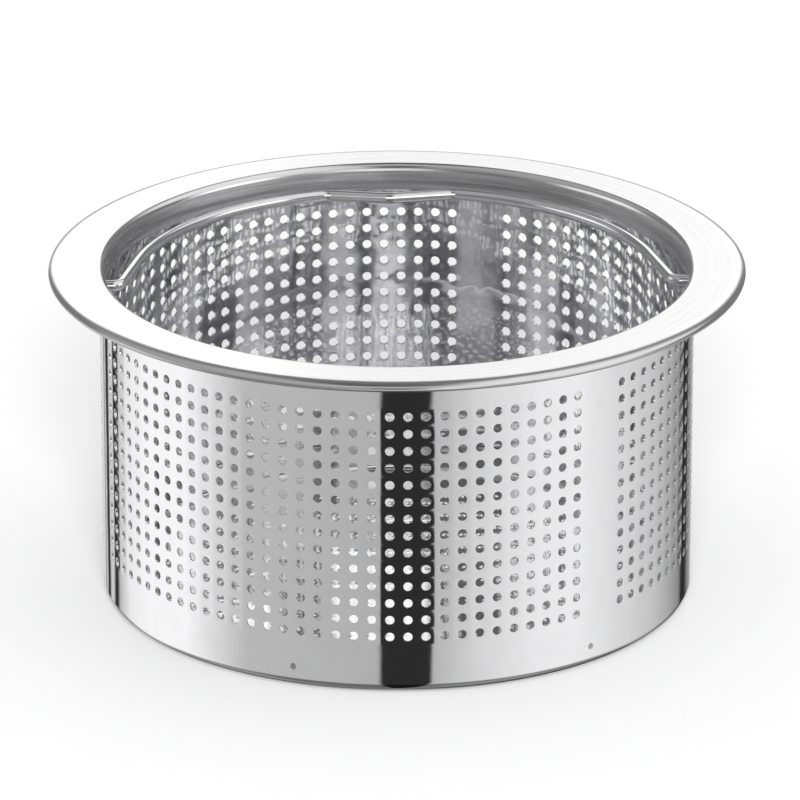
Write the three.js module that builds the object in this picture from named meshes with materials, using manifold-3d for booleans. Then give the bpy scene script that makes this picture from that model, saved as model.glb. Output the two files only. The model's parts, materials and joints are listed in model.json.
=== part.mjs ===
// A sink basket strainer in stainless steel, made of four pieces: a pressed rim ring with a hemmed
// flange, a rolled side wall with its lower edge curled in, a bottom plate with an upturned lip
// that is spot welded inside the wall, and a wire bail handle that swings in two holes in the wall.
// Millimetres, +Z up. The origin is the centre of the underside, X is the handle's hinge axis, and
// the handle lies on the +Y side.
//
// The wall and the bottom plate are drawn here as plain sheet. Their perforations are finer detail.

import * as THREE from "three";
import { mergeVertices } from "three/addons/utils/BufferGeometryUtils.js";
import Module from "manifold-3d";

// Driving dimensions
const HEIGHT = 68.9;
const SHEET = 0.45;
const TURNED_STEPS = 64; // facets round every turned piece, so that neighbours' facets lie parallel
const ARC_STEPS = 2; // half the facets on a quarter round of a section

// Rim ring
const FLANGE_R = 70;
const CREST_R = 60.4; // highest circle, where the flange rolls over into the collar
const COLLAR_R = 58.8; // inside of the collar
const COLLAR_DEPTH = 5.4;
const FLANGE_FALL = 0.1; // the flange's top falls this much from the crest to where its edge begins
const EDGE_WIDTH = 3; // the flange's top curves down to its outer edge over this width
const HEM_INNER_R = 66.6;
const HEM_BELOW_TOP = 1.6; // the hem's flat underside, below the crest
const HEM_ROUND = 0.35;

// Side wall
const WALL_R = 59.78; // outside
const WALL_TOP = 67.2;
const WALL_CORNER = 2.2; // outside radius of the curled lower edge
const CURL_R = 55.5; // inner edge of the curled foot

// Bottom plate
const PLATE_GAP = 0.1;
const LIP_R = 59.2; // outside of the upturned lip
const LIP_TOP = 7;

// Wire bail handle
const WIRE_R = 1.15;
const PIVOT_Z = 64.2;
const BAIL_R = 53.7; // centre line of the big arc
const BAIL_SHIFT = 1.3; // the arc's centre lies this far behind the hinge axis
const BAIL_LEAN = (14 * Math.PI) / 180; // the arc ends at this angle, and runs on straight to the bends
const BEND_R = 2; // bend into each pivot stub
const STUB_END = 61.1; // the stubs end just outside the wall
const DIP_HALF_WIDTH = 13.1; // finger dip at the back of the bail
const DIP_TIP_Y = 51.3;
const DIP_BLEND = 1; // each corner of the dip is rounded over this length of wire on either side
const WIRE_SIDES = 10;
const WIRE_STEPS = 110;

// Pivot holes in the wall and the notches over them in the collar
const PIVOT_HOLE_R = 1.5;
const NOTCH_R = 1.75;
const HOLE_SIDES = 16;
const CUT_LENGTH = 16; // each hole's cutting bar reaches half of this to either side of the sheet

const wasm = await Module();
wasm.setup();

function solidOf(geometry) {
  const bare = geometry.clone();
  bare.deleteAttribute("normal");
  bare.deleteAttribute("uv");
  const merged = mergeVertices(bare, 1e-4);
  const mesh = new wasm.Mesh({
    numProp: 3,
    vertProperties: new Float32Array(merged.attributes.position.array),
    triVerts: new Uint32Array(merged.index.array),
  });
  return new wasm.Manifold(mesh);
}

function geometryOf(solid) {
  const mesh = solid.getMesh();
  const geometry = new THREE.BufferGeometry();
  geometry.setAttribute("position", new THREE.BufferAttribute(mesh.vertProperties, 3));
  geometry.setIndex(new THREE.BufferAttribute(mesh.triVerts, 1));
  geometry.computeVertexNormals();
  return geometry;
}

function steel(colour, roughness) {
  return new THREE.MeshStandardMaterial({ color: colour, roughness, metalness: 1 });
}

function piece(name, geometry, material) {
  const mesh = new THREE.Mesh(geometry, material);
  mesh.name = name;
  return mesh;
}

// A sheet-metal section, drawn as radius and height, turned once round Z
function turned(section) {
  const points = section.getPoints(ARC_STEPS);
  points.push(points[0].clone());
  const geometry = new THREE.LatheGeometry(points, TURNED_STEPS);
  geometry.rotateX(Math.PI / 2);
  return geometry;
}

// A round bar along the hinge axis, through the sheet on one side
function hingeBar(radius, side) {
  const bar = new THREE.CylinderGeometry(radius, radius, CUT_LENGTH, HOLE_SIDES);
  bar.rotateZ(Math.PI / 2);
  bar.translate(side * WALL_R, 0, PIVOT_Z);
  return solidOf(bar);
}

function rimRing() {
  const quarter = Math.PI / 2;
  const rollR = CREST_R - COLLAR_R;
  const rollZ = HEIGHT - rollR;
  const topZ = HEIGHT - FLANGE_FALL;
  const hemZ = HEIGHT - HEM_BELOW_TOP;
  const collarZ = HEIGHT - COLLAR_DEPTH;
  const section = new THREE.Path();
  section.moveTo(COLLAR_R + SHEET, collarZ);
  section.absarc(CREST_R, rollZ, rollR - SHEET, 2 * quarter, quarter, true);
  section.lineTo(HEM_INNER_R, topZ - SHEET);
  section.lineTo(HEM_INNER_R, hemZ);
  section.absarc(FLANGE_R - HEM_ROUND, hemZ + HEM_ROUND, HEM_ROUND, -quarter, 0, false);
  const edgeZ = hemZ + HEM_ROUND;
  section.absellipse(FLANGE_R - EDGE_WIDTH, edgeZ, EDGE_WIDTH, topZ - edgeZ, 0, quarter, false);
  section.absarc(CREST_R, rollZ, rollR, quarter, 2 * quarter, false);
  section.lineTo(COLLAR_R, collarZ);

  let ring = solidOf(turned(section));
  for (const side of [-1, 1]) {
    ring = ring.subtract(notchTool(side));
  }
  return piece("rim_ring", geometryOf(ring), steel(0xd9dadb, 0.28));
}

// The notch is a round hole opened downwards through the collar's lower edge
function notchTool(side) {
  const depth = PIVOT_Z - (HEIGHT - COLLAR_DEPTH) + NOTCH_R;
  const slot = new THREE.BoxGeometry(2 * NOTCH_R, 2 * NOTCH_R, depth);
  slot.translate(side * COLLAR_R, 0, PIVOT_Z - depth / 2);
  return hingeBar(NOTCH_R, side).add(solidOf(slot));
}

function sideWall() {
  const quarter = Math.PI / 2;
  const cornerR = WALL_R - WALL_CORNER;
  const section = new THREE.Path();
  section.moveTo(WALL_R, WALL_TOP);
  section.lineTo(WALL_R - SHEET, WALL_TOP);
  section.absarc(cornerR, WALL_CORNER, WALL_CORNER - SHEET, 0, -quarter, true);
  section.lineTo(CURL_R, SHEET);
  section.lineTo(CURL_R, 0);
  section.absarc(cornerR, WALL_CORNER, WALL_CORNER, -quarter, 0, false);

  let wall = solidOf(turned(section));
  for (const side of [-1, 1]) {
    wall = wall.subtract(hingeBar(PIVOT_HOLE_R, side));
  }
  return piece("side_wall", geometryOf(wall), steel(0xc9cacc, 0.12));
}

function bottomPlate() {
  const quarter = Math.PI / 2;
  const underside = SHEET + PLATE_GAP;
  const cornerR = WALL_CORNER - underside;
  const cornerX = LIP_R - cornerR;
  const section = new THREE.Path();
  section.moveTo(LIP_R, LIP_TOP);
  section.lineTo(LIP_R - SHEET, LIP_TOP);
  section.absarc(cornerX, WALL_CORNER, cornerR - SHEET, 0, -quarter, true);
  section.lineTo(0, underside + SHEET);
  section.lineTo(0, underside);
  section.absarc(cornerX, WALL_CORNER, cornerR, -quarter, 0, false);
  return piece("bottom_plate", geometryOf(solidOf(turned(section))), steel(0xc4c5c7, 0.2));
}

// The wire's centre line in its own plane, from the left stub round the back to the right stub
function bailCentreLine() {
  const path = new THREE.CurvePath();
  const centre = new THREE.Vector2(0, BAIL_SHIFT);
  const leanSin = Math.sin(BAIL_LEAN);
  const leanCos = Math.cos(BAIL_LEAN);
  const straightRise = BAIL_SHIFT + BAIL_R * leanSin - BEND_R * (1 - leanSin);
  const bendX = (BAIL_R + BEND_R) * leanCos + straightRise * Math.tan(BAIL_LEAN);
  const bendEnd = new THREE.Vector2(bendX - BEND_R * leanCos, BEND_R * (1 - leanSin));
  const dipY = BAIL_SHIFT + Math.sqrt(BAIL_R ** 2 - DIP_HALF_WIDTH ** 2);

  const arcAt = (angle) =>
    new THREE.Vector2(Math.cos(angle), Math.sin(angle)).multiplyScalar(BAIL_R).add(centre);

  // Right half, from the middle of the dip out to the stub's end
  const dipCorner = new THREE.Vector2(DIP_HALF_WIDTH, dipY);
  const tip = new THREE.Vector2(0, DIP_TIP_Y);
  const cornerAngle = Math.atan2(dipY - BAIL_SHIFT, DIP_HALF_WIDTH);
  const along = dipCorner.clone().sub(tip).normalize();
  const leave = dipCorner.clone().addScaledVector(along, -DIP_BLEND);
  const joinAngle = cornerAngle - DIP_BLEND / BAIL_R;
  const tipOut = tip.clone().addScaledVector(along, DIP_BLEND);
  const tipIn = new THREE.Vector2(-tipOut.x, tipOut.y);

  const flat = (v) => new THREE.Vector3(v.x, v.y, 0);
  const mirrored = (v) => new THREE.Vector2(-v.x, v.y);
  const line = (a, b) => path.add(new THREE.LineCurve3(flat(a), flat(b)));
  const blend = (a, corner, b) =>
    path.add(new THREE.QuadraticBezierCurve3(flat(a), flat(corner), flat(b)));
  const arc = (x, y, radius, from, to) => path.add(new FlatArc(x, y, radius, from, to));

  const quarter = Math.PI / 2;
  line(new THREE.Vector2(-STUB_END, 0), new THREE.Vector2(-bendX, 0));
  arc(-bendX, BEND_R, BEND_R, -quarter, -BAIL_LEAN);
  line(mirrored(bendEnd), mirrored(arcAt(BAIL_LEAN)));
  arc(0, BAIL_SHIFT, BAIL_R, Math.PI - BAIL_LEAN, Math.PI - joinAngle);
  blend(mirrored(arcAt(joinAngle)), mirrored(dipCorner), mirrored(leave));
  line(mirrored(leave), tipIn);
  blend(tipIn, tip, tipOut);
  line(tipOut, leave);
  blend(leave, dipCorner, arcAt(joinAngle));
  arc(0, BAIL_SHIFT, BAIL_R, joinAngle, BAIL_LEAN);
  line(arcAt(BAIL_LEAN), bendEnd);
  arc(bendX, BEND_R, BEND_R, 2 * quarter + BAIL_LEAN, 3 * quarter);
  line(new THREE.Vector2(bendX, 0), new THREE.Vector2(STUB_END, 0));
  return path;
}

// A circular arc in the XY plane
class FlatArc extends THREE.Curve {
  constructor(x, y, radius, from, to) {
    super();
    Object.assign(this, { x, y, radius, from, to });
  }
  getPoint(t, target = new THREE.Vector3()) {
    const angle = this.from + (this.to - this.from) * t;
    const x = this.x + this.radius * Math.cos(angle);
    const y = this.y + this.radius * Math.sin(angle);
    return target.set(x, y, 0);
  }
}

function bailHandle() {
  const wire = new THREE.Shape().absarc(0, 0, WIRE_R, 0, 2 * Math.PI);
  const geometry = new THREE.ExtrudeGeometry(wire, {
    steps: WIRE_STEPS,
    curveSegments: WIRE_SIDES / 2, // each half of the wire's circle gets this many sides
    extrudePath: bailCentreLine(),
  });
  return piece("bail_handle", geometry, steel(0xd2d3d5, 0.15));
}

const basket = new THREE.Group();
basket.add(rimRing(), sideWall(), bottomPlate());

const swing = new THREE.Group();
swing.position.set(0, 0, PIVOT_Z);
swing.add(bailHandle());

const strainer = new THREE.Group();
strainer.add(basket, swing);

export default strainer;
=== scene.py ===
import json
import math

import bpy
import numpy as np
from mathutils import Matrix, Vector
from mathutils.geometry import delaunay_2d_cdt


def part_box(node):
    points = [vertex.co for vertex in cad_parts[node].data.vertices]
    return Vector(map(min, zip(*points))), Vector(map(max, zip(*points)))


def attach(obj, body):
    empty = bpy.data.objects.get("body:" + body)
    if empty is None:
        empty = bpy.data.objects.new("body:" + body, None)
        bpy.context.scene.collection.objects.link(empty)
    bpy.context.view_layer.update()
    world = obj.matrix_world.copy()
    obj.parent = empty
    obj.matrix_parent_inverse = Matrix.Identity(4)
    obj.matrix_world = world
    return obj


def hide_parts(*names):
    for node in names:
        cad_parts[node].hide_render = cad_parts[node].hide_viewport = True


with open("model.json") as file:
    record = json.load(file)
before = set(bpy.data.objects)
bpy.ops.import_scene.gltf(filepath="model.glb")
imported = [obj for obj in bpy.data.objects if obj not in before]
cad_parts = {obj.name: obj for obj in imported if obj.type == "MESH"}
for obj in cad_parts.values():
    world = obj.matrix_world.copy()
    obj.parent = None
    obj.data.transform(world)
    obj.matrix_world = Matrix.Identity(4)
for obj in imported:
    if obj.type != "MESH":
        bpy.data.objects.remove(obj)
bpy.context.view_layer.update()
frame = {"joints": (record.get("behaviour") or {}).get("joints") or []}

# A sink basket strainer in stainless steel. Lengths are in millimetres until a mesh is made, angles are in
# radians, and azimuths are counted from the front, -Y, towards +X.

MM = 0.001
QUARTER = math.pi / 2
TURN = 2 * math.pi
UP = np.array([0.0, 0.0, 1.0])
TINY = 1e-6  # nothing on the object is smaller than this


def box_mm(node):
    """A CAD node's lowest and highest corner."""
    low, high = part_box(node)
    return low / MM, high / MM


RIM_LOW, RIM_HIGH = box_mm("rim_ring")
_, WALL_HIGH = box_mm("side_wall")
PLATE_LOW, PLATE_HIGH = box_mm("bottom_plate")
BAIL_LOW, BAIL_HIGH = box_mm("bail_handle")

SHEET = 0.45  # thickness of every sheet
PIVOTS = (QUARTER, 3 * QUARTER)  # azimuths of the handle's two ends

# Rim ring
HEIGHT = RIM_HIGH.z
FLANGE_R = RIM_HIGH.x
COLLAR_Z = RIM_LOW.z
CREST_R = 60.4  # where the roll from the flange into the collar is highest
COLLAR_R = 58.8  # the collar's inner face
FLANGE_TOP = HEIGHT - 0.1  # the flange falls to this from the crest, where its edge begins
EDGE_WIDTH = 3  # the flange's top curves down to its outer edge over this width
HEM_INNER_R = 66.6
HEM_Z = HEIGHT - 1.6
HEM_ROUND = 0.35
EDGE_ROUND = 0.1
NOTCH_R = 1.75

# Side wall
WALL_R = WALL_HIGH.x
WALL_TOP = WALL_HIGH.z
WALL_CORNER = 2.2  # outer radius of the corner where the lower edge curls in
CURL_R = 55.5
PIVOT_HOLE_R = 1.5

# Perforation of the wall: three fields of holes between plain strips, each hole in a cell of its own
HOLE_R = 0.9
HOLE_ROUND = 0.06
CELL_STEPS = 4  # faces along each side of a cell, so a hole has four times as many sides
HOLE_FLARE = 0.13  # each hole is this much larger in radius on the inside of the wall
DRAW_IN = 0.04  # how far the sheet leans in at a punched edge, in radians
ROWS = 14
ROW_STEP = 3.556
TOP_ROW_Z = 58.3
FIELD_COLUMNS = (33, 33, 32)
COLUMN_STEP = math.radians(3.43)
FIRST_COLUMN = math.radians(-74.9)
STRIP = (TURN - sum(n - 1 for n in FIELD_COLUMNS) * COLUMN_STEP) / len(FIELD_COLUMNS)

# Bottom plate
PLATE_Z = PLATE_LOW.z
LIP_R = PLATE_HIGH.x
LIP_TOP = PLATE_HIGH.z
PLATE_FIELD_R = 50

# Bail handle
WIRE_R = (BAIL_HIGH.z - BAIL_LOW.z) / 2
PIVOT_Z = frame["joints"][0]["pos_m"][2] / MM
STUB_END = BAIL_HIGH.x
BAIL_R = 53.7
BAIL_SHIFT = 1.3  # the bail's arc is centred this far behind the hinge
BAIL_LEAN = math.radians(14)  # its arc ends this far round from the hinge's line and runs on straight
BEND_R = 2  # of the bend from there into the stub
DIP_HALF_WIDTH = 13.1
DIP_TIP_Y = 51.3
DIP_BLEND = 1  # how far from each of the dip's corners its rounding begins
END_ROUND = 0.25

# Welds. Each mark fades out between two distances from its middle.
SPOT_WELDS = 6
SPOT_WELD_Z = 4.3
SPOT_WELD_FADE = (0.45, 0.8)
FIRST_SPOT_WELD = math.radians(-21.5)
SEAM_AZIMUTH = FIRST_COLUMN - STRIP / 2
SEAM_FADE = (0.35, 0.9)


# ---------------------------------------------------------------- meshes

class Skin:
    """Faces kept as their corners' places and normals, so that each surface shades exactly."""

    def __init__(self):
        self.faces = []

    def add(self, corners, normals):
        """corners and normals are arrays of faces by corners by 3."""
        corners = np.asarray(corners, float)
        normals = np.broadcast_to(np.asarray(normals, float), corners.shape)
        self.faces.append((corners, normals))

    def build(self, name, material):
        """Makes the piece, with corners that meet joined into one vertex."""
        weld = 0.0005  # corners this close are one vertex
        off_grid = 0.137  # keeps round lengths away from where the rounding changes
        corners = np.concatenate([c.reshape(-1, 3) for c, _ in self.faces])
        normals = np.concatenate([n.reshape(-1, 3) for _, n in self.faces])
        sizes = np.concatenate([np.full(len(c), c.shape[1]) for c, _ in self.faces])
        keys = np.round(corners / weld + off_grid).astype(np.int64)
        _, first, index = np.unique(keys, axis=0, return_index=True, return_inverse=True)
        index = index.reshape(-1)
        mesh = bpy.data.meshes.new(name)
        mesh.vertices.add(len(first))
        mesh.vertices.foreach_set("co", (corners[first] * MM).ravel())
        mesh.loops.add(len(index))
        mesh.loops.foreach_set("vertex_index", index)
        mesh.polygons.add(len(sizes))
        mesh.polygons.foreach_set("loop_start", np.concatenate([[0], np.cumsum(sizes)[:-1]]))
        mesh.update(calc_edges=True)
        mesh.shade_smooth()
        mesh.normals_split_custom_set(normals / np.linalg.norm(normals, axis=1, keepdims=True))
        mesh.materials.append(material)
        piece = bpy.data.objects.new(name, mesh)
        bpy.context.scene.collection.objects.link(piece)
        return piece


def quads(grid):
    """The quads of a grid of points, rows by columns by 3, as faces by 4 by 3."""
    grid = np.asarray(grid, float)
    corners = np.stack([grid[:-1, :-1], grid[:-1, 1:], grid[1:, 1:], grid[1:, :-1]], axis=2)
    return corners.reshape(-1, 4, 3)


def outward(azimuth):
    """The level direction away from Z at an azimuth."""
    return np.stack([np.sin(azimuth), -np.cos(azimuth), np.zeros_like(azimuth)], axis=-1)


def sideways(azimuth):
    """The level direction in which an azimuth grows."""
    return np.stack([np.cos(azimuth), np.sin(azimuth), np.zeros_like(azimuth)], axis=-1)


class Section:
    """An outline in radius and height, as runs of points that each carry their normal. It goes round the
    material so that the material is on the left."""

    def __init__(self, radius, z):
        self.at = (radius, z)
        self.runs = []

    def line(self, radius, z, steps=1):
        along = radius - self.at[0]
        rise = z - self.at[1]
        length = math.hypot(along, rise)
        normal = (rise / length, -along / length)
        t = np.linspace(0, 1, steps + 1)
        points = np.stack([self.at[0] + along * t, self.at[1] + rise * t], axis=1)
        self.runs.append((points, np.tile(normal, (steps + 1, 1))))
        self.at = (radius, z)

    def arc(self, centre, width, start, end, steps, height=None):
        """Part of a circle of radius width, or of an ellipse with that half width and the half height.
        Going clockwise it bounds the material on its hollow side."""
        height = width if height is None else height
        angle = np.linspace(start, end, steps + 1)
        across = centre[0] + width * np.cos(angle)
        points = np.stack([across, centre[1] + height * np.sin(angle)], axis=1)
        side = 1 if end > start else -1
        normals = side * np.stack([np.cos(angle) / width, np.sin(angle) / height], axis=1)
        normals /= np.linalg.norm(normals, axis=1, keepdims=True)
        if math.dist(points[0], self.at) > TINY:
            self.line(*points[0])
        self.runs.append((points, normals))
        self.at = tuple(points[-1])

    def turn(self, skin, azimuths, bend=None):
        """Sweeps the outline round Z. bend, if given, changes the height of each point by azimuth."""
        for points, normals in self.runs:
            radius = points[:, 0][:, None, None]
            height = np.repeat(points[:, 1][:, None], len(azimuths), axis=1)
            if bend is not None:
                height = bend(height, azimuths[None, :])
            place = radius * outward(azimuths)[None] + height[..., None] * UP
            slope = np.gradient(height, axis=1) / (radius[..., 0] * np.gradient(azimuths))
            lifted = UP - slope[..., None] * sideways(azimuths)
            facing = normals[:, 0][:, None, None] * outward(azimuths)[None]
            facing = facing + normals[:, 1][:, None, None] * lifted
            skin.add(quads(place), quads(facing))


# ---------------------------------------------------------------- perforated sheet

def ring(radius, angles):
    """Points at the angles round a flat circle."""
    return radius * np.stack([np.cos(angles), np.sin(angles)], axis=-1)


def cell_outline(width, height):
    """Points round a cell's edge, anticlockwise from its lower right corner."""
    half = CELL_STEPS // 2
    t = np.arange(-half, half) / half
    right = np.stack([np.ones_like(t), t], axis=1)
    top = np.stack([-t, np.ones_like(t)], axis=1)
    return np.concatenate([right, top, -right, -top]) * (width / 2, height / 2)


def band_quads(start, end):
    """The quads between two closed loops of as many points."""
    return np.stack([start, np.roll(start, -1, axis=0), np.roll(end, -1, axis=0), end], axis=1)


def hole_faces(outline, hole_r, sheet, roll, lean, flare=0):
    """The faces of one punched hole between its cell's edge and the hole, through the sheet. Each corner is
    (u, v, depth) with a normal (u, v, out), where depth counts inwards from the punched side. The punched
    edge is rounded by roll, the sheet leans in to it by lean, and the hole's far end is wider by flare."""
    angles = np.arctan2(outline[:, 1], outline[:, 0])
    count = len(outline)
    inward = -ring(1, angles)
    brim, bore, far = (ring(hole_r + more, angles) for more in (roll, 0, flare))

    def at_depth(flat, depth):
        return np.concatenate([flat, np.full((count, 1), depth)], axis=1)

    out = at_depth(np.zeros((count, 2)), 1)
    leaning = at_depth(inward * math.sin(lean), math.cos(lean))
    across = at_depth(inward, 0)
    flared = at_depth(inward, -flare / sheet)
    bands = [
        (at_depth(outline, 0), out, at_depth(brim, 0), leaning),
        (at_depth(brim, 0), leaning, at_depth(bore, roll), across),
        (at_depth(bore, roll), flared, at_depth(far, sheet), flared),
        (at_depth(far, sheet), -out, at_depth(outline, sheet), -out),
    ]
    corners, normals = [], []
    for start, start_normal, end, end_normal in bands:
        corners.append(band_quads(start, end))
        normals.append(band_quads(start_normal, end_normal))
    return np.concatenate(corners), np.concatenate(normals)


def wrap(corners, normals, azimuth, z):
    """Lays faces given as (arc length, height, depth) on the wall, centred at each azimuth and height."""
    around = azimuth + corners[..., 0] / WALL_R
    height = z + corners[..., 1]
    radius = WALL_R - corners[..., 2]
    place = radius[..., None] * outward(around) + height[..., None] * UP
    facing = normals[..., 0:1] * sideways(around) + normals[..., 1:2] * UP
    facing = facing + normals[..., 2:3] * outward(around)
    return place, facing


def wall_columns():
    """Every hole column's azimuth, and the sheet's lines round the wall: CELL_STEPS to a column, and
    wider steps across the plain strips."""
    strip_steps = 5
    columns, lines = [], []
    start = FIRST_COLUMN
    for count in FIELD_COLUMNS:
        columns.append(start + COLUMN_STEP * np.arange(count))
        left = start - COLUMN_STEP / 2
        right = left + count * COLUMN_STEP
        lines.append(np.linspace(left, right, count * CELL_STEPS + 1)[:-1])
        lines.append(np.linspace(right, right + STRIP - COLUMN_STEP, strip_steps + 1)[:-1])
        start += (count - 1) * COLUMN_STEP + STRIP
    lines = np.concatenate(lines)
    return columns, np.append(lines, lines[0] + TURN)


def side_wall(material):
    """The perforated tube, with the handle's two holes and its lower edge curled in."""
    skin = Skin()
    columns, lines = wall_columns()
    low = TOP_ROW_Z - (ROWS - 0.5) * ROW_STEP
    high = TOP_ROW_Z + ROW_STEP / 2
    top_band_steps = 4
    rows = np.linspace(low, high, CELL_STEPS * ROWS + 1)
    top_band = np.linspace(high, WALL_TOP, top_band_steps + 1)
    heights = np.concatenate([[WALL_CORNER, low], rows[1:], top_band[1:]])
    punched = slice(1, len(rows))
    above_holes = slice(len(rows), None)

    # Punched fields
    cell = cell_outline(COLUMN_STEP * WALL_R, ROW_STEP)
    corners, normals = hole_faces(cell, HOLE_R, SHEET, HOLE_ROUND, DRAW_IN, HOLE_FLARE)
    plain = np.ones((len(heights) - 1, len(lines) - 1), bool)
    middle = (lines[1:] + lines[:-1]) / 2
    for field in columns:
        for row in range(ROWS):
            z = TOP_ROW_Z - row * ROW_STEP
            place, facing = wrap(corners[None], normals[None], field[:, None, None], z)
            skin.add(place.reshape(-1, 4, 3), facing.reshape(-1, 4, 3))
        inside = (middle > field[0] - COLUMN_STEP / 2) & (middle < field[-1] + COLUMN_STEP / 2)
        plain[punched, inside] = False

    # The handle's two holes, each in a patch of the plain band under the rim
    patch_half = 3
    for pivot in PIVOTS:
        nearest = int(np.argmin(np.abs(lines - pivot)))
        first, last = nearest - patch_half, nearest + patch_half
        plain[above_holes, first:last] = False
        outline = patch_outline((lines[first:last + 1] - pivot) * WALL_R, top_band - PIVOT_Z)
        around = hole_faces(outline, PIVOT_HOLE_R, SHEET, HOLE_ROUND, 0)
        skin.add(*wrap(*around, pivot, PIVOT_Z))

    # Plain sheet, outside and inside
    for depth, side in ((0, 1), (SHEET, -1)):
        grid = (WALL_R - depth) * outward(lines)[None] + heights[:, None, None] * UP
        facing = np.broadcast_to(side * outward(lines)[None], grid.shape)
        keep = plain.ravel()
        skin.add(quads(grid)[keep][:, ::side], quads(facing)[keep][:, ::side])

    # Cut top edge, and the lower edge curled in to a foot
    corner_r = WALL_R - WALL_CORNER
    top = Section(WALL_R, WALL_TOP)
    top.line(WALL_R - SHEET, WALL_TOP)
    top.turn(skin, lines)
    foot = Section(WALL_R - SHEET, WALL_CORNER)
    foot.arc((corner_r, WALL_CORNER), WALL_CORNER - SHEET, 0, -QUARTER, steps=5)
    foot.line(CURL_R, SHEET)
    foot.line(CURL_R, 0)
    foot.arc((corner_r, WALL_CORNER), WALL_CORNER, -QUARTER, 0, steps=6)
    foot.turn(skin, lines)
    return skin.build("perforated_wall", material)


def patch_outline(across, upward):
    """The points round a patch of the wall's grid, anticlockwise from its lower right corner."""
    right = np.stack([np.full(len(upward), across[-1]), upward], axis=1)
    top = np.stack([across[::-1], np.full(len(across), upward[-1])], axis=1)
    left = np.stack([np.full(len(upward), across[0]), upward[::-1]], axis=1)
    bottom = np.stack([across, np.full(len(across), upward[0])], axis=1)
    return np.concatenate([side[:-1] for side in (right, top, left, bottom)])


def bottom_plate(material):
    """A disc punched on a square grid, with plain metal round it, a rounded corner and an upturned lip."""
    skin = Skin()
    segments = 240
    decimals = 6
    corner_r = WALL_CORNER - PLATE_Z
    disc_r = LIP_R - corner_r
    top_z = PLATE_Z + SHEET

    reach = int(PLATE_FIELD_R / ROW_STEP)
    step = np.arange(-reach, reach + 1)
    i, j = (a.ravel() for a in np.meshgrid(step, step))
    used = np.hypot(i, j) * ROW_STEP + HOLE_R <= PLATE_FIELD_R
    centres = np.stack([i[used], j[used]], axis=1) * ROW_STEP
    outline = cell_outline(ROW_STEP, ROW_STEP)
    corners, normals = hole_faces(outline, HOLE_R, SHEET, HOLE_ROUND, DRAW_IN)
    place = np.repeat(corners[None], len(centres), axis=0)
    place[..., :2] += centres[:, None, None]
    place[..., 2] = top_z - place[..., 2]
    facing = np.repeat(normals[None], len(centres), axis=0)
    skin.add(place.reshape(-1, 4, 3), facing.reshape(-1, 4, 3))

    # Plain metal between the punched field and the corner
    taken = set(map(tuple, np.round(centres / ROW_STEP).astype(int)))
    around = np.linspace(0, TURN, segments, endpoint=False)
    rim = disc_r * outward(around)[:, :2]
    shared = (outline[None] + centres[:, None]).reshape(-1, 2)
    shared = np.unique(np.round(shared, decimals), axis=0)
    points = [Vector(point) for point in np.concatenate([rim, shared])]
    filled = delaunay_2d_cdt(points, [], [], 0, TINY)
    flat = np.array([list(point) for point in filled[0]])
    triangles = np.array([face for face in filled[2] if len(face) == 3])
    middles = flat[triangles].mean(axis=1)
    cells = np.round(middles / ROW_STEP).astype(int)
    free = np.array([tuple(cell) not in taken for cell in cells])
    triangles = flat[triangles[free]]
    for z, side in ((top_z, 1), (PLATE_Z, -1)):
        lifted = np.concatenate([triangles, np.full((*triangles.shape[:2], 1), z)], axis=2)
        skin.add(lifted[:, ::side], side * UP)

    lip = Section(disc_r, PLATE_Z)
    lip.arc((disc_r, WALL_CORNER), corner_r, -QUARTER, 0, steps=6)
    lip.line(LIP_R, LIP_TOP)
    lip.line(LIP_R - SHEET, LIP_TOP)
    lip.arc((disc_r, WALL_CORNER), corner_r - SHEET, 0, -QUARTER, steps=5)
    lip.turn(skin, np.append(around, TURN))
    return skin.build("perforated_bottom", material)


# ---------------------------------------------------------------- rim and handle

def notch_height(azimuths):
    """Height of the collar's lower edge: level, with a round notch over each pivot."""
    edge = np.full(np.shape(azimuths), COLLAR_Z)
    for pivot in PIVOTS:
        away = (azimuths - pivot) * COLLAR_R
        inside = np.abs(away) <= NOTCH_R
        arch = PIVOT_Z + np.sqrt(np.maximum(NOTCH_R ** 2 - away ** 2, 0))
        edge = np.where(inside, arch, edge)
    return edge


def rim_azimuths():
    """Even steps round the rim, with closer ones across each notch and just past its two sides."""
    segments = 288
    arch_steps = 16
    past_side = 1.002 * NOTCH_R
    even = np.linspace(0, TURN, segments + 1)
    arch = NOTCH_R * np.cos(np.linspace(0, math.pi, arch_steps + 1))
    across_notch = np.append(arch, [-past_side, past_side])
    closer = []
    for pivot in PIVOTS:
        even = even[np.abs(even - pivot) * COLLAR_R > past_side]
        closer.append(pivot + across_notch / COLLAR_R)
    return np.sort(np.concatenate([even, *closer]))


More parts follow.
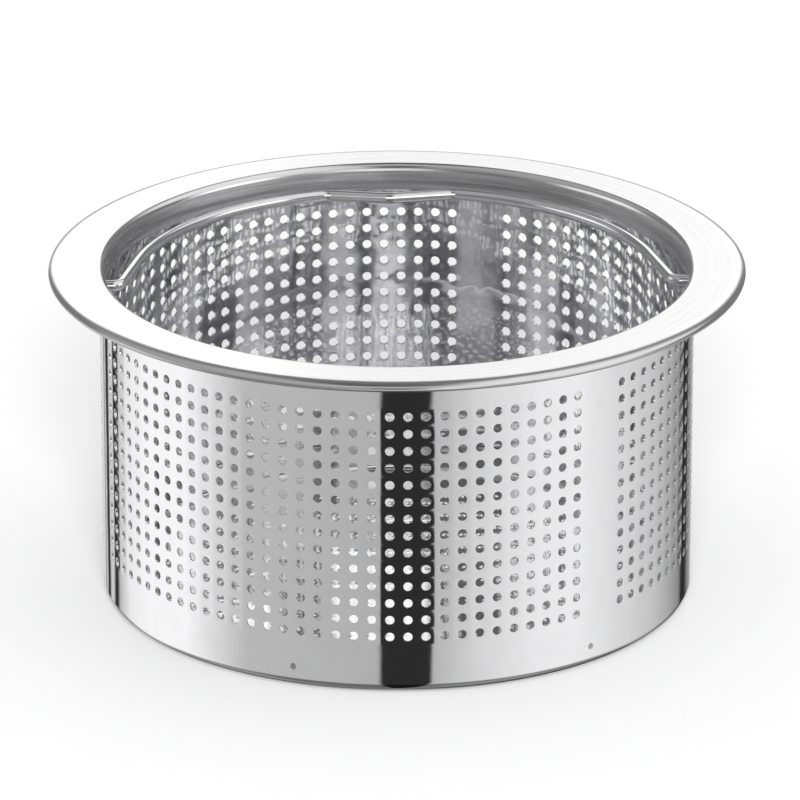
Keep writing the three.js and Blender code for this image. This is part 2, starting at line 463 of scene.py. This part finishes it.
def rim_ring(material):
    """The collar, the roll out of it and the hemmed flange, all in one turned section."""
    roll_r = CREST_R - COLLAR_R
    roll_z = HEIGHT - roll_r
    outer_r = COLLAR_R + SHEET
    lip_z = COLLAR_Z + EDGE_ROUND
    edge_z = HEM_Z + HEM_ROUND
    section = Section(COLLAR_R, roll_z)
    section.line(COLLAR_R, lip_z)
    section.arc((COLLAR_R + EDGE_ROUND, lip_z), EDGE_ROUND, 2 * QUARTER, 3 * QUARTER, steps=3)
    section.line(outer_r, COLLAR_Z)
    section.line(outer_r, roll_z)
    section.arc((CREST_R, roll_z), roll_r - SHEET, 2 * QUARTER, QUARTER, steps=8)
    section.line(HEM_INNER_R, FLANGE_TOP - SHEET)
    section.line(HEM_INNER_R, HEM_Z)
    section.arc((FLANGE_R - HEM_ROUND, edge_z), HEM_ROUND, -QUARTER, 0, steps=6)
    edge = (FLANGE_R - EDGE_WIDTH, edge_z)
    section.arc(edge, EDGE_WIDTH, 0, QUARTER, steps=16, height=FLANGE_TOP - edge_z)
    section.line(CREST_R, HEIGHT, steps=2)
    section.arc((CREST_R, roll_z), roll_r, QUARTER, 2 * QUARTER, steps=12)

    def bend(height, azimuths):
        """Draws the collar up over each notch, in proportion to how far below the roll it is."""
        edge = notch_height(azimuths)
        share = (roll_z - height) / (roll_z - COLLAR_Z)
        return np.where(height < roll_z, roll_z - share * (roll_z - edge), height)

    skin = Skin()
    section.turn(skin, rim_azimuths(), bend)
    return skin.build("rim_flange", material)


def bail_line():
    """Points (x, y) along the wire's centre line, from one stub's end to the other, with the dip's three
    corners rounded."""
    foot = BAIL_SHIFT + BAIL_R * math.sin(BAIL_LEAN) - BEND_R * (1 - math.sin(BAIL_LEAN))
    bend_x = (BAIL_R + BEND_R) * math.cos(BAIL_LEAN) + foot * math.tan(BAIL_LEAN)
    dip_y = BAIL_SHIFT + math.sqrt(BAIL_R ** 2 - DIP_HALF_WIDTH ** 2)
    corner_angle = math.atan2(dip_y - BAIL_SHIFT, DIP_HALF_WIDTH)
    corner = np.array([DIP_HALF_WIDTH, dip_y])
    tip = np.array([0, DIP_TIP_Y])
    along = (corner - tip) / math.dist(corner, tip)

    def arc(centre, radius, start, end, steps):
        return np.array(centre) + ring(radius, np.linspace(start, end, steps + 1))

    def rounded(start, corner, end, steps):
        t = np.linspace(0, 1, steps + 1)[:, None]
        return (1 - t) ** 2 * start + 2 * t * (1 - t) * corner + t ** 2 * end

    mirror = np.array([-1, 1])
    joined = corner_angle - DIP_BLEND / BAIL_R
    sweep = arc((0, BAIL_SHIFT), BAIL_R, BAIL_LEAN, joined, steps=90)
    beside_tip = tip + DIP_BLEND * along
    half = np.concatenate([
        [[STUB_END - END_ROUND, 0]],
        arc((bend_x, BEND_R), BEND_R, 3 * QUARTER, 2 * QUARTER + BAIL_LEAN, steps=10),
        sweep,
        rounded(sweep[-1], corner, corner - DIP_BLEND * along, steps=8)[1:],
    ])
    middle = rounded(beside_tip, tip, beside_tip * mirror, steps=10)
    line = np.concatenate([half, middle, half[::-1] * mirror])
    distinct = np.append(True, np.linalg.norm(np.diff(line, axis=0), axis=1) > TINY)
    return line[distinct]


def bail(material):
    """The wire swept along its line, with the edges of its two cut ends rounded."""
    sides = 24
    end_steps = 3
    line = bail_line()
    ahead = np.gradient(line, axis=0)
    ahead /= np.linalg.norm(ahead, axis=1, keepdims=True)
    ahead = np.concatenate([ahead, np.zeros((len(line), 1))], axis=1)
    centre = np.concatenate([line, np.full((len(line), 1), PIVOT_Z)], axis=1)

    # Each cut end adds rings that close in round its edge
    turn = np.linspace(0, QUARTER, end_steps + 1)[1:, None]
    closing = END_ROUND * np.sin(turn)
    start = centre[0] - closing[::-1] * ahead[0]
    finish = centre[-1] + closing * ahead[-1]
    centre = np.concatenate([start, centre, finish])
    lean = np.concatenate([-turn[::-1, 0], np.zeros(len(line)), turn[:, 0]])
    radius = WIRE_R - END_ROUND * (1 - np.cos(lean))
    before = np.tile(ahead[0], (end_steps, 1))
    after = np.tile(ahead[-1], (end_steps, 1))
    ahead = np.concatenate([before, ahead, after])

    around = np.linspace(0, TURN, sides + 1)
    across = np.stack([-ahead[:, 1], ahead[:, 0], np.zeros(len(ahead))], axis=1)
    spoke = np.cos(around)[None, :, None] * across[:, None] + np.sin(around)[None, :, None] * UP
    place = centre[:, None] + radius[:, None, None] * spoke
    facing = np.cos(lean)[:, None, None] * spoke + np.sin(lean)[:, None, None] * ahead[:, None]
    skin = Skin()
    skin.add(quads(place), quads(facing))
    for end, way in ((0, -1), (-1, 1)):
        disc = place[end][::-way]
        middle = np.tile(centre[end], (sides, 1))
        skin.add(np.stack([middle, disc[1:], disc[:-1]], axis=1), way * ahead[end])
    return skin.build("wire_bail", material)


# ---------------------------------------------------------------- materials

class Nodes:
    """Adds nodes to a tree. An input given as a socket is linked, and any other value is set."""

    def __init__(self, tree):
        self.tree = tree

    def add(self, kind, inputs=(), **settings):
        node = self.tree.nodes.new("ShaderNode" + kind)
        for name, value in settings.items():
            setattr(node, name, value)
        for name, value in dict(inputs).items():
            if isinstance(value, bpy.types.NodeSocket):
                self.tree.links.new(value, node.inputs[name])
            else:
                node.inputs[name].default_value = value
        return node

    def maths(self, operation, *values):
        return self.add("Math", enumerate(values), operation=operation).outputs[0]

    def times(self, value, factor):
        return self.maths("MULTIPLY", value, factor)

    def plus(self, value, more):
        return self.maths("ADD", value, more)

    def minus(self, value, less):
        return self.maths("SUBTRACT", value, less)

    def spread(self, value, low, high, to_low=0.0, to_high=1.0):
        """value taken smoothly from low..high to to_low..to_high, held at the ends."""
        inputs = {"Value": value, "From Min": low, "From Max": high, "To Min": to_low, "To Max": to_high}
        return self.add("MapRange", inputs, interpolation_type="SMOOTHSTEP").outputs["Result"]

    def blend(self, share, first, second, kind="MIX"):
        """Colours first and second mixed by share."""
        inputs = {0: share, 6: first, 7: second}
        return self.add("Mix", inputs, data_type="RGBA", blend_type=kind).outputs[2]

    def noise(self, vector, scale, detail, w=0.0, roughness=0.5):
        """Noise from 0 to 1. With millimetre coordinates, scale is in features to a millimetre."""
        inputs = {"Vector": vector, "W": w, "Scale": scale, "Detail": detail, "Roughness": roughness}
        return self.add("TexNoise", inputs, noise_dimensions="4D").outputs["Fac"]

    def vector(self, x, y, z):
        return self.add("CombineXYZ", {"X": x, "Y": y, "Z": z}).outputs[0]

    def split(self, vector):
        return self.add("SeparateXYZ", {"Vector": vector}).outputs

    def length(self, x, y):
        return self.maths("SQRT", self.plus(self.times(x, x), self.times(y, y)))

    def place(self):
        """The surface's place in the object's own frame, in millimetres."""
        metres = self.add("TexCoord").outputs["Object"]
        to_mm = (1 / MM,) * 3
        return self.add("VectorMath", [(0, metres), (1, to_mm)], operation="MULTIPLY").outputs[0]

    def round_z(self, x, y):
        """The radius from Z, and the direction away from Z as the x and y of a unit vector."""
        least = 0.01  # keeps the axis itself out of the division
        radius = self.maths("MAXIMUM", self.length(x, y), least)
        return radius, self.maths("DIVIDE", x, radius), self.maths("DIVIDE", y, radius)

    def azimuth(self, x, y):
        return self.maths("ARCTAN2", x, self.times(y, -1.0))

    def turned_from(self, azimuth, start, pitch):
        """The azimuth from the nearest of the places set out from start at a pitch."""
        return self.maths("WRAP", self.minus(azimuth, start), pitch / 2, -pitch / 2)


def steel(name, colour, make):
    """A metal whose tint, roughness and relief come from make(nodes), each a socket. The tint goes from 0 for
    the metal at its dullest to 1 for its full colour, and the relief is in millimetres."""
    material = bpy.data.materials.new(name)
    material.use_nodes = True
    tree = material.node_tree
    tree.nodes.clear()
    nodes = Nodes(tree)
    tint, roughness, relief = make(nodes)
    dullest = 0.35
    dull = tuple(dullest * channel for channel in colour)
    tinted = nodes.blend(tint, (*dull, 1), (*colour, 1))
    bump = nodes.add("Bump", {"Height": relief, "Distance": MM, "Strength": 1.0}).outputs[0]
    inputs = {"Base Color": tinted, "Metallic": 1.0, "Roughness": roughness, "Normal": bump}
    shader = nodes.add("BsdfPrincipled", inputs).outputs[0]
    nodes.add("OutputMaterial", {"Surface": shader})
    return material


def wall_finish(nodes):
    """Bright rolled sheet: slow ripples, fine upright scratches, spot welds, and the seam weld. Its inside
    is the more dented side."""
    x, y, z = nodes.split(nodes.place())
    radius, away_x, away_y = nodes.round_z(x, y)
    on_wall = nodes.vector(nodes.times(away_x, WALL_R), nodes.times(away_y, WALL_R), z)
    round_scale, upright_scale = 900.0, 0.25
    upright = nodes.vector(
        nodes.times(away_x, round_scale),
        nodes.times(away_y, round_scale),
        nodes.times(z, upright_scale),
    )
    ripple = nodes.noise(on_wall, scale=0.07, detail=1.0)
    scratch = nodes.noise(upright, scale=1.0, detail=3.0)
    smear = nodes.noise(on_wall, scale=0.25, detail=3.0)
    dents = nodes.noise(on_wall, scale=0.22, detail=1.0)

    # Spot welds, at even azimuths round the foot
    azimuth = nodes.azimuth(x, y)
    turned = nodes.turned_from(azimuth, FIRST_SPOT_WELD, TURN / SPOT_WELDS)
    from_weld = nodes.length(nodes.times(turned, WALL_R), nodes.minus(z, SPOT_WELD_Z))
    weld = nodes.spread(from_weld, *SPOT_WELD_FADE, 1.0, 0.0)

    # Seam weld, ground and slightly sunken
    turned = nodes.turned_from(azimuth, SEAM_AZIMUTH, TURN)
    from_seam = nodes.maths("ABSOLUTE", nodes.times(turned, WALL_R))
    seam = nodes.spread(from_seam, *SEAM_FADE, 1.0, 0.0)
    seam_strength = 0.6
    marks = nodes.maths("MAXIMUM", weld, nodes.times(seam, seam_strength))

    mark_tint, mark_rough, mark_depth = 0.8, 0.3, 0.05
    ripple_depth, scratch_depth, inside_dent, outside_dent = 0.10, 0.0006, 0.05, 0.006
    tint = nodes.minus(nodes.spread(smear, 0.2, 0.6, 0.94, 1.0), nodes.times(marks, mark_tint))
    rough = nodes.plus(nodes.spread(scratch, 0.35, 0.75, 0.03, 0.07), nodes.times(marks, mark_rough))
    dent_depth = nodes.spread(radius, WALL_R - SHEET, WALL_R, inside_dent, outside_dent)
    relief = nodes.plus(nodes.times(ripple, ripple_depth), nodes.times(scratch, scratch_depth))
    relief = nodes.plus(relief, nodes.times(dents, dent_depth))
    return tint, rough, nodes.minus(relief, nodes.times(marks, mark_depth))


def rim_finish(nodes):
    """Satin flange, brushed round and round. The collar is rougher and more deeply brushed, and its colour is
    darkened as painted shade. The folded edge's lower side is dull, and darkened as painted shade too."""
    x, y, z = nodes.split(nodes.place())
    radius, away_x, away_y = nodes.round_z(x, y)
    line = nodes.minus(radius, z)  # grows across the flange and down the collar, from one line to the next
    round_scale = 2.5
    along_line = nodes.vector(nodes.times(away_x, round_scale), nodes.times(away_y, round_scale), 0.0)
    fine = nodes.times(line, 9.0)
    coarse = nodes.times(line, 1.3)
    brushed = nodes.noise(along_line, scale=1.0, detail=3.0, w=fine, roughness=0.6)
    broad = nodes.noise(along_line, scale=1.0, detail=1.0, w=coarse)

    collar = nodes.spread(radius, COLLAR_R + 0.1, COLLAR_R + 0.6, 1.0, 0.0)
    at_edge = nodes.spread(radius, FLANGE_R - 0.35, FLANGE_R - 0.15)
    lower = nodes.spread(z, HEM_Z + 0.5, HEM_Z + 0.75, 1.0, 0.0)
    fold = nodes.times(at_edge, lower)

    # The collar's colour is darkened below as painted shade, for the shade inside the rim.
    collar_rough, collar_painted_shade, collar_relief = 0.05, -0.45, 0.03
    # The lower side of the folded edge is darkened below as painted shade, for the shade under the flange.
    fold_rough, fold_painted_shade = 0.15, 0.6
    flange_wear, flange_relief = 0.92, 0.0012
    rough = nodes.spread(brushed, 0.3, 0.7, 0.12, 0.2)
    rough = nodes.plus(rough, nodes.times(collar, collar_rough))
    rough = nodes.plus(rough, nodes.times(fold, fold_rough))
    # The broad wear on the flange is real. On the collar the same range reaches much darker, as painted
    # shade.
    wear_and_shade_low = nodes.maths("MULTIPLY_ADD", collar, collar_painted_shade, flange_wear)
    wear_and_painted_shade = nodes.spread(broad, 0.25, 0.7, wear_and_shade_low, 1.0)
    depth = nodes.maths("MULTIPLY_ADD", collar, collar_relief, flange_relief)
    # The tint carries the painted shade of the collar and of the folded edge's lower side.
    return nodes.minus(wear_and_painted_shade, nodes.times(fold, fold_painted_shade)), rough, nodes.times(brushed, depth)


def plate_finish(nodes):
    """Bright sheet with fine scratches from use, running both ways."""
    place = nodes.place()
    x, y, z = nodes.split(place)

    def scratches(x_scale, y_scale):
        stretched = nodes.vector(nodes.times(x, x_scale), nodes.times(y, y_scale), z)
        return nodes.noise(stretched, scale=1.0, detail=3.0)

    along_x = scratches(x_scale=0.15, y_scale=6.0)
    along_y = scratches(x_scale=5.0, y_scale=0.2)
    scratch = nodes.maths("MAXIMUM", along_x, along_y)
    smear = nodes.noise(place, scale=0.1, detail=3.0)
    sag = nodes.noise(place, scale=0.05, detail=1.0)
    scratch_depth, sag_depth = 0.001, 0.5
    tint = nodes.spread(smear, 0.3, 0.7, 0.9, 1.0)
    rough = nodes.spread(scratch, 0.5, 0.8, 0.08, 0.2)
    return tint, rough, nodes.plus(nodes.times(scratch, scratch_depth), nodes.times(sag, sag_depth))


def wire_finish(nodes):
    """Drawn wire: fine lines along the wire, and a little wear."""
    place = nodes.place()
    x, y, z = nodes.split(place)
    radius, away_x, away_y = nodes.round_z(x, y)
    along_scale, across_scale = 3.0, 7.0
    along_wire = nodes.vector(
        nodes.times(away_x, along_scale),
        nodes.times(away_y, along_scale),
        nodes.times(z, across_scale),
    )
    drawn = nodes.noise(along_wire, scale=1.0, detail=3.0, w=nodes.times(radius, across_scale))
    wear_and_shade_low = nodes.noise(place, scale=0.3, detail=2.0)
    line_depth = 0.002
    tint = nodes.spread(wear_and_shade_low, 0.3, 0.7, 0.92, 1.0)
    rough = nodes.spread(drawn, 0.3, 0.7, 0.12, 0.2)
    return tint, rough, nodes.times(drawn, line_depth)


# ---------------------------------------------------------------- studio

def ramp(nodes, angle, span, stops):
    """Brightness by an angle in radians, from stops of (degrees, brightness) over a span centred on 0."""
    place = nodes.maths("MULTIPLY_ADD", angle, 1 / span, 0.5)
    node = nodes.add("ValToRGB", {"Fac": place})
    bands = node.color_ramp
    for degrees, brightness in stops:
        stop = bands.elements.new(math.radians(degrees) / span + 0.5)
        stop.color = (brightness, brightness, brightness, 1)

    # A new ramp comes with a stop at each end
    bands.elements.remove(bands.elements[0])
    bands.elements.remove(bands.elements[-1])
    return node.outputs["Color"]


def mirrored_studio(nodes):
    """What the steel mirrors, as bands of brightness by direction. Below the horizon stand cards by azimuth,
    dimmer straight down. A low belt of lamps goes round above them. The ceiling is banded from left to
    right, with a grey strip at its back and a soft box at its top."""
    lamp, white, pale, grey, dim, dark, black = 1.8, 1.15, 0.7, 0.56, 0.3, 0.1, 0.03
    cards = [
        (-180, pale), (-160, pale), (-157.5, black), (-154, black), (-152.5, pale), (-148, pale),
        (-147, black), (-143, black), (-141, grey), (-131, 1.0), (-115, white), (-92, white),
        (-62, 0.6), (-8.5, 0.54), (-7.5, black), (11.5, black), (12.5, grey), (30, 0.82), (55, 1.02),
        (72, 1.05), (118, 0.67), (143, dim), (146.5, black), (153, black), (155, 0.15), (164, 0.42),
        (170, 0.8), (180, pale),
    ]
    downwards = [(-90, dim), (-45, dim), (-35, 1), (90, 1)]
    belt = [
        (-180, 1.5), (-166, 1.5), (-158, 0.2), (-120, 0.2), (-106, white), (-76, white), (-66, 0.2),
        (-18, 0.15), (-12, lamp), (24, lamp), (30, 0.15), (46, 0.15), (52, lamp), (84, 1.4), (90, 0.2),
        (158, 0.2), (166, 1.5), (180, 1.5),
    ]
    left_to_right = [
        (-90, dim), (-9, 0.42), (-5, dark), (5, dark), (9, 0.9), (50, 0.9), (70, dim), (90, dim),
    ]
    strip = (0.2, 0.2, 0.2, 1)
    soft_box = (0.5, 0.5, 0.5, 1)
    gap = (dim, dim, dim, 1)
    horizon = 0.04

    direction = nodes.add("TexCoord").outputs["Generated"]
    x, y, z = nodes.split(direction)
    azimuth = nodes.azimuth(x, y)
    elevation = nodes.maths("ARCSINE", z)

    def rising(low, high):
        """0 below one elevation in degrees and 1 above another."""
        return nodes.spread(elevation, math.radians(low), math.radians(high))

    standing = ramp(nodes, azimuth, TURN, cards)
    below = nodes.blend(1.0, standing, ramp(nodes, elevation, math.pi, downwards), "MULTIPLY")
    banded = ramp(nodes, nodes.maths("ARCSINE", x), math.pi, left_to_right)
    ceiling = nodes.blend(nodes.spread(y, 0.55, 0.75), banded, strip)
    ceiling = nodes.blend(rising(74, 80), ceiling, soft_box)
    above = nodes.blend(rising(6, 11), gap, ramp(nodes, azimuth, TURN, belt))
    above = nodes.blend(rising(30, 34), above, ceiling)
    return nodes.blend(nodes.spread(elevation, -horizon, horizon), below, above)


def studio_light():
    """A soft pale tent, all round, lights what isn't metal. Metal mirrors the darker, banded studio."""
    world = bpy.data.worlds.new("studio")
    bpy.context.scene.world = world
    world.use_nodes = True
    world.node_tree.nodes.clear()
    nodes = Nodes(world.node_tree)
    tent = (0.76, 0.76, 0.76, 1)
    glossy = nodes.add("LightPath").outputs["Is Glossy Ray"]
    colour = nodes.blend(glossy, tent, mirrored_studio(nodes))
    light = nodes.add("Background", {"Color": colour, "Strength": 1.05}).outputs[0]
    nodes.add("OutputWorld", {"Surface": light})


def key_light():
    """A wide lamp low in front, which the steel doesn't mirror. It gives the floor its soft shadow."""
    elevation = 26
    data = bpy.data.lights.new("key", "SUN")
    data.energy = 2.4
    data.angle = math.radians(20)
    lamp = bpy.data.objects.new("key", data)
    lamp.rotation_euler = (math.radians(90 - elevation), 0, 0)
    lamp.visible_glossy = False
    bpy.context.scene.collection.objects.link(lamp)


def floor():
    """A plain pale table top, faintly mottled. The steel doesn't mirror it, but the studio in its place."""
    half = 6 / MM
    corners = [[-half, -half, 0], [half, -half, 0], [half, half, 0], [-half, half, 0]]
    material = bpy.data.materials.new("pale_floor")
    material.use_nodes = True
    nodes = Nodes(material.node_tree)
    shader = material.node_tree.nodes["Principled BSDF"]
    metres = nodes.add("TexCoord").outputs["Object"]
    mottle = nodes.noise(metres, scale=60.0, detail=4.0)
    shade = nodes.blend(mottle, (0.94, 0.94, 0.94, 1), (0.96, 0.96, 0.96, 1))
    material.node_tree.links.new(shade, shader.inputs["Base Color"])
    shader.inputs["Roughness"].default_value = 0.7
    shader.inputs["Specular IOR Level"].default_value = 0.1
    skin = Skin()
    skin.add([corners], UP)
    surface = skin.build("floor", material)
    surface.visible_glossy = False


def camera():
    """The photograph's view, through a long lens from in front, looking down by about 21 degrees. Its place
    is in metres."""
    data = bpy.data.cameras.new("camera")
    data.lens = 362.06
    data.sensor_width = 36
    data.clip_end = 50
    view = bpy.data.objects.new("camera", data)
    view.location = (-0.0398, -1.5186, 0.6198)
    view.rotation_euler = (math.radians(69.079), 0, math.radians(-1.524))
    bpy.context.scene.collection.objects.link(view)
    bpy.context.scene.camera = view


def render_setup():
    """Plain colours, and enough bounces for light to pass in and out through the holes."""
    scene = bpy.context.scene
    scene.view_settings.view_transform = "Standard"
    scene.cycles.max_bounces = 20
    scene.cycles.glossy_bounces = 16


def stand_for(piece, node, body):
    """Lets a piece stand for a CAD node, on the body that carries it."""
    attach(piece, body)
    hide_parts(node)


studio_light()
key_light()
floor()
camera()
render_setup()

satin_rim = steel("satin_rim", (0.80, 0.80, 0.80), rim_finish)
stand_for(rim_ring(satin_rim), "rim_ring", "basket")
bright_wall = steel("bright_wall", (0.76, 0.76, 0.77), wall_finish)
stand_for(side_wall(bright_wall), "side_wall", "basket")
bright_plate = steel("bright_plate", (0.74, 0.74, 0.75), plate_finish)
stand_for(bottom_plate(bright_plate), "bottom_plate", "basket")
drawn_wire = steel("drawn_wire", (0.78, 0.78, 0.79), wire_finish)
stand_for(bail(drawn_wire), "bail_handle", "bail")
